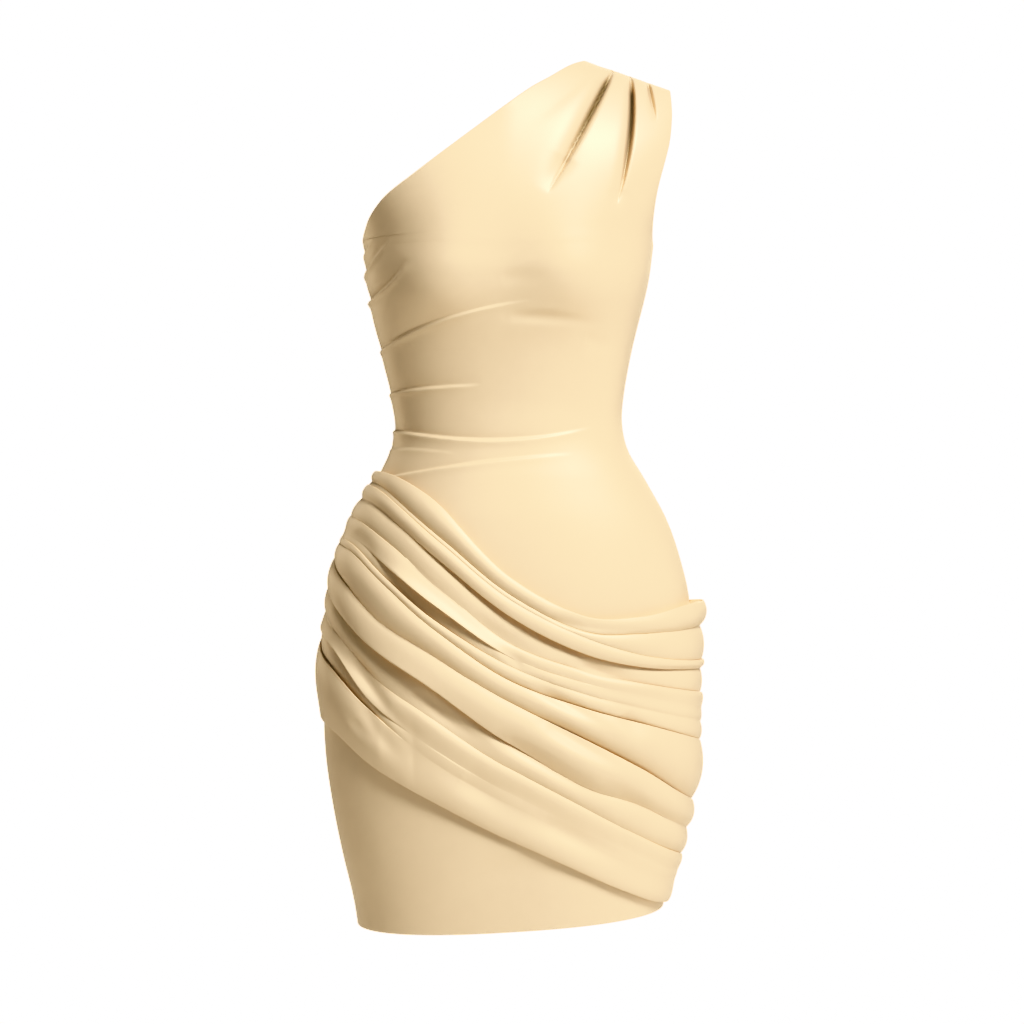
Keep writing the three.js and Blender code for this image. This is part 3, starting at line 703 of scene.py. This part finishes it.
def panel(name, angle, level, creases, cups, thickness, away):
    """The cloth of the front or back over the worn form, with its creases and rounded edges. The
    pleats sink straight in along Y, away being the sign of its outer side there, and the rest is
    moved along the form's normal."""
    base = form_point(angle, level)
    normal = form_normal(angle, level)
    x, z = base[..., 0], base[..., 2]
    pleats, shades, tucks = creases
    sunk = creased(pleats, (), (), x, z)
    out = cups * cup_fullness(x, z) + creased((), shades, tucks, x, z) * bare_share(angle, level)
    out = out * seam_fade(angle)
    drop = edge_drop(edge_distance(base), thickness / 2)
    face = base + normal * (out - drop)[..., None]
    under = (lowest_near(out, NEAR_STEPS) - thickness + drop)[::2, ::2]
    inside = base[::2, ::2] + normal[::2, ::2] * under[..., None]
    for grid, depth in ((face, sunk), (inside, lowest_near(sunk, NEAR_STEPS)[::2, ::2])):
        grid[..., 1] += away * depth
        grid[-1, :, 1] = SHOULDER_Y + away * SHOULDER_HALF_GAP
    # the deeper the face is sunk in a pleat, the more painted shade it gets
    return shell(name, face, inside, np.clip(-sunk / PAINTED_SHADE_DEPTH, 0, 1) ** PAINTED_SHADE_FALL)


def loft(angle, level):
    """Mean height of the draped panel: from the middle to the side as the sine squared."""
    side = np.where(angle < 0, loft_of["right"](level), loft_of["left"](level))
    return lerp(loft_of["middle"](level), side, np.sin(np.radians(angle)) ** 2)


def fold_lines(angle):
    """Level, height above and height below each line of the draped panel at each angle, and how
    far it is a fold there. Where it is none, its height comes from the lines on either side."""
    gather = np.clip((SEAM_ANGLE - np.abs(angle)) / PINCH_ANGLE, 0, 1)
    gather = gather * (2 - gather)
    lines = []
    for name in DRAPE_LINES:
        level, lip, sink = drape_line(name, angle)
        mean = loft(angle, level) - sink
        above = lerp(PINCH_LOFT, np.maximum(mean - lip / 2, DRAPE_LEAST), gather)
        below = lerp(PINCH_LOFT, np.maximum(mean + lip / 2, DRAPE_LEAST), gather)
        full = np.clip((np.abs(lip) + 2 * sink) / CROWN_LIP, 0, 1)
        lines.append([level, above, below, full, above, below])  # the last two as a full fold's
    for _ in range(FLAT_PASSES):
        for before, line, after in zip(lines, lines[1:], lines[2:]):
            level, full = line[0], line[3]
            share = (before[0] - level) / (before[0] - after[0])
            between = lerp(before[2], after[1], share)
            line[1], line[2] = lerp(between, line[4], full), lerp(between, line[5], full)
    lines[0][1] = np.full_like(angle, DRAPE_UNDER)
    lines[-1][2] = lines[-1][1] - 2 * HEM_ROLL
    return [line[:4] for line in lines]


def fold_path(above, below):
    """Steps up and out along the cloth at a line, from the height above it. Where the lower pleat
    stands over the upper one, the cloth runs back down under its fold, comes out again in a
    straight line, and rolls round half a circle. Where it hangs under, the path is turned over."""
    lip = np.abs(below - above)
    radius = np.minimum(FOLD_RADIUS, FOLD_SHARE * lip)
    back = radius + UNDERCUT * np.clip(lip / UNDERCUT_LIP, 0, 1)
    turn = np.linspace(-np.pi / 2, np.pi / 2, FOLD_STEPS)[:, None]
    nose_up = -radius + radius * np.cos(turn)
    nose_out = lip - radius + radius * np.sin(turn)
    up = np.concatenate([lerp(-back, nose_up[0], UNDER_ROWS), nose_up])
    out = np.concatenate([lerp(0, nose_out[0], UNDER_ROWS**UNDER_BEND), nose_out])
    hangs = below < above
    ease = FOLD_EASE * np.linspace(1, -1, len(up))[:, None] * np.clip(1 - lip / FOLD_EASE, 0, 1)
    up = np.where(hangs, -up[::-1], up) + ease
    return up, np.where(hangs, below + out[::-1], above + out)


def drape_profile(angle, row_step):
    """Levels and heights over the front down each column of the draped panel. Between two lines
    a pleat goes from one height to the next as its share to a power, with a crown of four times
    the share times what is left."""
    lines = fold_lines(angle)
    levels, heights = [], []
    for i, (level, above, below, full) in enumerate(lines):
        up, out = fold_path(above, below)
        levels.append(level + up)
        heights.append(out)
        if i == len(lines) - 1:
            break
        start = levels[-1][-1]
        next_level, next_above, next_below, next_full = lines[i + 1]
        next_up, _ = fold_path(next_above, next_below)
        end = np.minimum(next_level + next_up[0], start - BAND_LEAST)
        count = max(int(np.max(start - end) / row_step), 2)
        p = np.linspace(0, 1, count + 2)[1:-1, None]
        crown = 4 * np.minimum(DRAPE_CROWN * (start - end), DRAPE_CROWN_MOST) * p * (1 - p)
        levels.append(lerp(start, end, p))
        heights.append(lerp(below, next_above, p**PLEAT_TURN) + crown * lerp(full, next_full, p))
    return np.concatenate(levels), np.concatenate(heights)


def drape_inside(levels, heights, thickness):
    """The inside of the draped panel: even steps down from its top edge, each a thickness under
    the lowest part of the face near it."""
    count = (len(levels) + 1) // 2
    p = np.linspace(0, 1, count)[:, None]
    inside = lerp(levels[:1], levels[-1:], p)
    near = np.abs(levels[None] - inside[:, None]) < INSIDE_REACH
    lowest = np.where(near, heights[None], np.inf).min(1)
    return inside, np.maximum(lowest - thickness, DRAPE_UNDER)


def place_over_front(angle, level, height):
    """Points at a height over the front's smooth face."""
    base = form_point(angle, level)
    cups = cup_fullness(base[..., 0], base[..., 2]) * seam_fade(angle)
    return base + form_normal(angle, level) * (cups + height)[..., None]


def new_material(name):
    """A material, its nodes and links, and its Principled shader."""
    material = bpy.data.materials.new(name)
    material.use_nodes = True
    nodes = material.node_tree.nodes
    return material, nodes, material.node_tree.links, nodes["Principled BSDF"]


def feed(links, socket, value):
    """Joins another node's output to a socket, or sets a plain value on it."""
    if isinstance(value, bpy.types.NodeSocket):
        links.new(value, socket)
    else:
        socket.default_value = value


def math_node(tree, operation, *values):
    """One Math node. Each input is a number or another node's output."""
    node = tree.nodes.new("ShaderNodeMath")
    node.operation = operation
    for socket, value in zip(node.inputs, values):
        feed(tree.links, socket, value)
    return node.outputs[0]


def mix_node(nodes, links, factor, start, end):
    """One Mix node between two colours, of which the first may be another node's output."""
    mix = nodes.new("ShaderNodeMix")
    mix.data_type = "RGBA"
    links.new(factor, mix.inputs["Factor"])
    feed(links, mix.inputs["A"], start)
    mix.inputs["B"].default_value = (*end, 1)
    return mix.outputs["Result"]


def attribute_node(nodes, name):
    """What an attribute of the mesh says."""
    node = nodes.new("ShaderNodeAttribute")
    node.attribute_name = name
    return node.outputs["Fac"]


def weave_group():
    """A satin weave on the cloth's own UV map: rows of warp floats, each row with its ties moved
    two threads on. It puts out the height of the threads and a faint unevenness of their tone."""
    group = bpy.data.node_groups.new("Satin weave", "ShaderNodeTree")
    sockets = {"Threads": "INPUT", "Unevenness": "INPUT", "Height": "OUTPUT", "Tone": "OUTPUT"}
    for name, way in sockets.items():
        group.interface.new_socket(name=name, in_out=way, socket_type="NodeSocketFloat")
    nodes, links = group.nodes, group.links
    given = nodes.new("NodeGroupInput")
    result = nodes.new("NodeGroupOutput")
    place = nodes.new("ShaderNodeUVMap")
    place.uv_map = "cloth"
    split = nodes.new("ShaderNodeSeparateXYZ")
    links.new(place.outputs["UV"], split.inputs[0])
    across = math_node(group, "MULTIPLY", split.outputs["X"], given.outputs["Threads"])
    along = math_node(group, "MULTIPLY", split.outputs["Y"], given.outputs["Threads"])
    step = math_node(group, "MULTIPLY", math_node(group, "FLOOR", across), TIE_STEP)
    shifted = math_node(group, "ADD", along, step)
    tie = math_node(group, "FRACT", math_node(group, "DIVIDE", shifted, TIE_REPEAT))
    float_shape = math_node(group, "SINE", math_node(group, "MULTIPLY", tie, math.pi))
    rounded = math_node(group, "POWER", float_shape, FLOAT_ROUND)
    thread = math_node(group, "FRACT", across)
    bulge = math_node(group, "SINE", math_node(group, "MULTIPLY", thread, math.pi))
    links.new(math_node(group, "MULTIPLY", rounded, bulge), result.inputs["Height"])
    noise = nodes.new("ShaderNodeTexNoise")
    noise.inputs["Detail"].default_value = 3
    links.new(place.outputs["UV"], noise.inputs["Vector"])
    links.new(given.outputs["Unevenness"], noise.inputs["Scale"])
    links.new(noise.outputs["Fac"], result.inputs["Tone"])
    return group


def satin_material(settings):
    """Soft satin: an even tone with a faint unevenness, a fine weave, a wide gloss, partly
    metallic so that folds stand out, and a little sheen. Its wrong side is duller and slightly
    deeper in colour, and cloth deep in a pleat is given painted shade, a dark colour that
    stands in for the shade there."""
    material, nodes, links, shader = new_material("Satin")
    weave = nodes.new("ShaderNodeGroup")
    weave.node_tree = weave_group()
    weave.inputs["Threads"].default_value = settings.threads
    weave.inputs["Unevenness"].default_value = UNEVENNESS
    side = attribute_node(nodes, "wrong_side")
    uneven = [UNEVEN_TONE * c for c in settings.colour]
    tone = mix_node(nodes, links, weave.outputs["Tone"], (*settings.colour, 1), uneven)
    tone = mix_node(nodes, links, side, tone, settings.wrong_side_colour)
    # painted shade: cloth deep in a pleat takes a dark colour in place of the shade in the slit
    tone = mix_node(nodes, links, attribute_node(nodes, "deep"), tone, settings.painted_pleat_shade_colour)
    links.new(tone, shader.inputs["Base Color"])
    rough = nodes.new("ShaderNodeMapRange")
    rough.inputs["To Min"].default_value = settings.roughness
    rough.inputs["To Max"].default_value = WRONG_SIDE_ROUGHNESS
    links.new(side, rough.inputs["Value"])
    links.new(rough.outputs["Result"], shader.inputs["Roughness"])
    shader.inputs["Metallic"].default_value = METALLIC
    shader.inputs["Specular IOR Level"].default_value = SPECULAR
    shader.inputs["Specular Tint"].default_value = (*settings.gloss_colour, 1)
    shader.inputs["Sheen Weight"].default_value = SHEEN
    shader.inputs["Sheen Roughness"].default_value = SHEEN_ROUGHNESS
    bump = nodes.new("ShaderNodeBump")
    bump.inputs["Strength"].default_value = BUMP_STRENGTH
    bump.inputs["Distance"].default_value = settings.thread_height
    links.new(weave.outputs["Height"], bump.inputs["Height"])
    links.new(bump.outputs["Normal"], shader.inputs["Normal"])
    return material


def finish_cloth(obj, node):
    """A finished piece of cloth takes the place of its solid and rides with the dress."""
    settings = bpy.context.scene.dress_satin
    material = bpy.data.materials.get("Satin") or satin_material(settings)
    obj.data.materials.append(material)
    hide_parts(node)
    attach(obj, "root")


class DressCut(bpy.types.PropertyGroup):
    """Sizes of the cloth"""

    body_cloth: FloatProperty(
        name="Body cloth", description="Thickness of the front and back, satin on its underlining",
        default=0.002, min=0.001, max=0.003, unit="LENGTH", precision=4)
    drape_cloth: FloatProperty(
        name="Drape cloth", description="Thickness of the draped panel, one layer of satin",
        default=0.0014, min=0.001, max=0.003, unit="LENGTH", precision=4)
    row_step: FloatProperty(
        name="Drape rows", description="Distance between rows across a pleat of the draped panel",
        default=0.0022, min=0.001, max=0.01, unit="LENGTH", precision=4)


class DressSatin(bpy.types.PropertyGroup):
    """Finish of the satin"""

    colour: FloatVectorProperty(
        name="Colour", description="Colour of the satin's face", subtype="COLOR",
        default=(0.72, 0.545, 0.35), min=0, max=1)
    wrong_side_colour: FloatVectorProperty(
        name="Wrong side", description="Colour of the satin's wrong side", subtype="COLOR",
        default=(0.62, 0.45, 0.28), min=0, max=1)
    # colour of the painted shade deep in a pleat, not the satin's own colour there
    painted_pleat_shade_colour: FloatVectorProperty(
        name="Deep in a pleat", description="Colour of the satin deep in a pleat", subtype="COLOR",
        default=(0.12, 0.086, 0.04), min=0, max=1)
    gloss_colour: FloatVectorProperty(
        name="Gloss", description="Tint of the satin's gloss", subtype="COLOR",
        default=(1.0, 0.82, 0.56), min=0, max=1)
    roughness: FloatProperty(
        name="Roughness", description="How dull the satin's gloss is", subtype="FACTOR",
        default=0.55, min=0, max=1)
    threads: FloatProperty(
        name="Threads", description="Warp threads to the metre", default=2600, min=500, max=6000)
    thread_height: FloatProperty(
        name="Thread height", description="How far a thread stands out of the cloth",
        default=0.00004, min=0, max=0.001, unit="LENGTH", precision=5)


class DressStage(bpy.types.PropertyGroup):
    """Camera, lights and floor"""

    camera_distance: FloatProperty(
        name="Camera distance", description="From the lens to the middle of the dress",
        default=3.2, min=1, max=20, unit="LENGTH")
    camera_right: FloatProperty(
        name="Camera place", description="Camera's place across the dress, from its origin",
        default=-0.1209, unit="LENGTH")
    camera_height: FloatProperty(
        name="Camera height", description="Camera's height, from the dress's origin",
        default=-0.4462, unit="LENGTH")
    view_width: FloatProperty(
        name="View width", description="Width of the picture at the dress",
        default=1.0521, min=0.1, unit="LENGTH")
    key_power: FloatProperty(
        name="Key light", description="Power of the large light at the front",
        default=358, min=0, unit="POWER")
    side_power: FloatProperty(
        name="Side light", description="Power of the large light at the wearer's left",
        default=30, min=0, unit="POWER")
    rim_power: FloatProperty(
        name="Rim light", description="Power of the light behind the wearer's right",
        default=12, min=0, unit="POWER")
    back_power: FloatProperty(
        name="Back light", description="Power of the light behind the dress",
        default=110, min=0, unit="POWER")
    room_light: FloatProperty(
        name="Room light", description="Strength of the light from all round",
        default=0.11, min=0)
    floor_drop: FloatProperty(
        name="Floor", description="Distance of the floor below the hem",
        default=0.45, min=0, unit="LENGTH")


class DRESS_OT_stage(bpy.types.Operator):
    """Make the camera, the lights and a pale floor"""

    bl_idname = "dress.stage"
    bl_label = "Stage"

    def execute(self, context):
        """The camera looks level along +Y, as wide as the picture is at the dress."""
        stage = context.scene.dress_stage
        add_camera(stage)
        middle = (CAD_BOX[0] + CAD_BOX[1]) / 2
        powers = stage.key_power, stage.side_power, stage.rim_power, stage.back_power
        for light, power in zip(LIGHTS, powers):
            add_light(*light, power, middle)
        add_room(stage.room_light)
        add_floor(CAD_BOX[0].z - stage.floor_drop)
        set_response(context.scene.view_settings)
        return {"FINISHED"}


def set_response(view):
    """A camera's response: deep tones a little deeper and yellower, and bright ones held back."""
    view.view_transform = "Standard"
    view.use_curve_mapping = True
    view.curve_mapping.white_level = (WHITE, WHITE, WHITE)
    for channel, rows in zip(view.curve_mapping.curves, RESPONSE):
        for light, shown in rows:
            channel.points.new(light / WHITE, shown)
    view.curve_mapping.update()


def add_camera(stage):
    """A level camera in front of the dress."""
    data = bpy.data.cameras.new("Camera")
    data.sensor_width = 36
    data.lens = data.sensor_width * stage.camera_distance / stage.view_width
    camera = place_object("Camera", data)
    front = -SHOULDER_Y * MILLIMETRE - stage.camera_distance
    camera.location = (stage.camera_right, front, stage.camera_height)
    camera.rotation_euler = (math.pi / 2, 0, 0)
    bpy.context.scene.camera = camera


def add_light(name, azimuth, elevation, distance, size, colour, power, middle):
    """A square soft light that faces the middle of the dress. Azimuth 0 is in front of it, and
    90 at the wearer's left."""
    data = bpy.data.lights.new(name, "AREA")
    data.size = size
    data.energy = power
    data.color = colour
    light = place_object(name, data)
    a, e = math.radians(azimuth), math.radians(elevation)
    way = (math.sin(a) * math.cos(e), -math.cos(a) * math.cos(e), math.sin(e))
    light.location = [m + distance * w for m, w in zip(middle, way)]
    light.rotation_euler = (middle - light.location).to_track_quat("-Z", "Y").to_euler()


def show_to_camera(nodes, links, lit, shown, output):
    """The camera sees one shader, and all other light meets the lit one."""
    path = nodes.new("ShaderNodeLightPath")
    both = nodes.new("ShaderNodeMixShader")
    links.new(path.outputs["Is Camera Ray"], both.inputs["Fac"])
    links.new(lit.outputs[0], both.inputs[1])
    links.new(shown.outputs[0], both.inputs[2])
    links.new(both.outputs[0], output.inputs["Surface"])


def add_room(strength):
    """A white room for the camera, which lights the dress with a dim warm light."""
    world = bpy.data.worlds.new("Room")
    bpy.context.scene.world = world
    world.use_nodes = True
    nodes, links = world.node_tree.nodes, world.node_tree.links
    shown, lighting = nodes["Background"], nodes.new("ShaderNodeBackground")
    shown.inputs["Color"].default_value = (1, 1, 1, 1)
    shown.inputs["Strength"].default_value = WHITE
    lighting.inputs["Color"].default_value = ROOM_COLOUR
    lighting.inputs["Strength"].default_value = strength
    show_to_camera(nodes, links, lighting, shown, nodes["World Output"])


def add_floor(height):
    """A pale round floor, white to the camera."""
    turn = np.linspace(0, 2 * np.pi, FLOOR_CORNERS, endpoint=False)
    x, y = FLOOR_RADIUS * np.cos(turn), FLOOR_RADIUS * np.sin(turn)
    mesh = bpy.data.meshes.new("Floor")
    mesh.from_pydata(np.stack([x, y, np.full_like(x, height)], -1), [], [range(FLOOR_CORNERS)])
    material, nodes, links, shader = new_material("Floor")
    shader.inputs["Base Color"].default_value = FLOOR_COLOUR
    shader.inputs["Roughness"].default_value = FLOOR_ROUGHNESS
    white = nodes.new("ShaderNodeEmission")
    white.inputs["Strength"].default_value = WHITE
    show_to_camera(nodes, links, shader, white, nodes["Material Output"])
    mesh.materials.append(material)
    place_object("Floor", mesh)


class DRESS_OT_front(bpy.types.Operator):
    """Make the front, from the hem up to the gathered shoulder seam"""

    bl_idname = "dress.front"
    bl_label = "Front"

    def execute(self, context):
        """The front runs from side seam to side seam, and above the underarm from the neckline
        to the armhole."""
        thickness = context.scene.dress_cut.body_cloth / MILLIMETRE
        levels = panel_levels(skirt=37, bodice=196, chest=147)
        angle, level = panel_grid(levels, columns=173, fine=3.4, lower=0, behind=False)
        creases = FRONT_PLEATS, FRONT_SHADES, FRONT_TUCKS
        cloth = panel("front_cloth", angle, level, creases, cups=1, thickness=thickness, away=-1)
        finish_cloth(cloth, "front")
        return {"FINISHED"}


class DRESS_OT_back(bpy.types.Operator):
    """Make the back, from the hem up to the shoulder seam"""

    bl_idname = "dress.back"
    bl_label = "Back"

    def execute(self, context):
        """The back runs on round from the left side seam to the right one."""
        thickness = context.scene.dress_cut.body_cloth / MILLIMETRE
        levels = panel_levels(skirt=43, bodice=190, chest=85)
        angle, level = panel_grid(
            levels, columns=151, fine=3, lower=NECK_LOWER_BEHIND, behind=True)
        creases = BACK_PLEATS, BACK_SHADES, BACK_TUCKS
        cloth = panel("back_cloth", angle, level, creases, cups=0, thickness=thickness, away=1)
        finish_cloth(cloth, "back")
        return {"FINISHED"}


class DRESS_OT_drape(bpy.types.Operator):
    """Make the draped panel, pleated from the right side seam across to the left one"""

    bl_idname = "dress.drape"
    bl_label = "Draped panel"

    def execute(self, context):
        """Each column of the panel is one profile of its pleats, from the top edge down."""
        cut = context.scene.dress_cut
        seam = SEAM_ANGLE - SEAM_HALF_GAP
        angle = angle_at(np.linspace(around(-seam), around(seam), DRAPE_COLUMNS))
        level, height = drape_profile(angle, cut.row_step / MILLIMETRE)
        if len(level) % 2 == 0:  # every second row has to reach both edges
            level, height = level[:-1], height[:-1]
        base = form_point(angle, level)
        shades = creased((), DRAPE_SHADES, (), base[..., 0], base[..., 2]) * seam_fade(angle)
        height = np.maximum(height + shades, DRAPE_LEAST * (height > DRAPE_LEAST))
        inner_level, inner_height = drape_inside(
            level[:, ::2], height[:, ::2], cut.drape_cloth / MILLIMETRE)
        face = place_over_front(angle, level, height)
        inside = place_over_front(angle[::2], inner_level, inner_height)
        cloth = shell("drape_cloth", face[::-1], inside[::-1])
        finish_cloth(cloth, "drape")
        return {"FINISHED"}


class DRESS_PT_panel(bpy.types.Panel):
    """The dress's pieces and settings"""

    bl_idname = "DRESS_PT_panel"
    bl_label = "Dress"
    bl_space_type = "VIEW_3D"
    bl_region_type = "UI"
    bl_category = "Dress"

    def draw(self, context):
        """One button for each operator, and under them the settings."""
        for operator in OPERATORS:
            self.layout.operator(operator.bl_idname)
        for group in (context.scene.dress_cut, context.scene.dress_satin, context.scene.dress_stage):
            for name in group.__annotations__:
                self.layout.prop(group, name)


OPERATORS = (DRESS_OT_stage, DRESS_OT_front, DRESS_OT_back, DRESS_OT_drape)
SETTINGS = {"dress_cut": DressCut, "dress_satin": DressSatin, "dress_stage": DressStage}
CLASSES = (*SETTINGS.values(), *OPERATORS, DRESS_PT_panel)


def register():
    """Adds the classes and the settings."""
    for each in CLASSES:
        bpy.utils.register_class(each)
    for name, group in SETTINGS.items():
        setattr(bpy.types.Scene, name, PointerProperty(type=group))


def unregister():
    """Takes the settings and the classes out again."""
    for name in SETTINGS:
        delattr(bpy.types.Scene, name)
    for each in reversed(CLASSES):
        bpy.utils.unregister_class(each)


def main():
    """Makes the whole scene."""
    register()
    bpy.ops.dress.stage()
    bpy.ops.dress.front()
    bpy.ops.dress.back()
    bpy.ops.dress.drape()


if __name__ == "__main__":
    main()
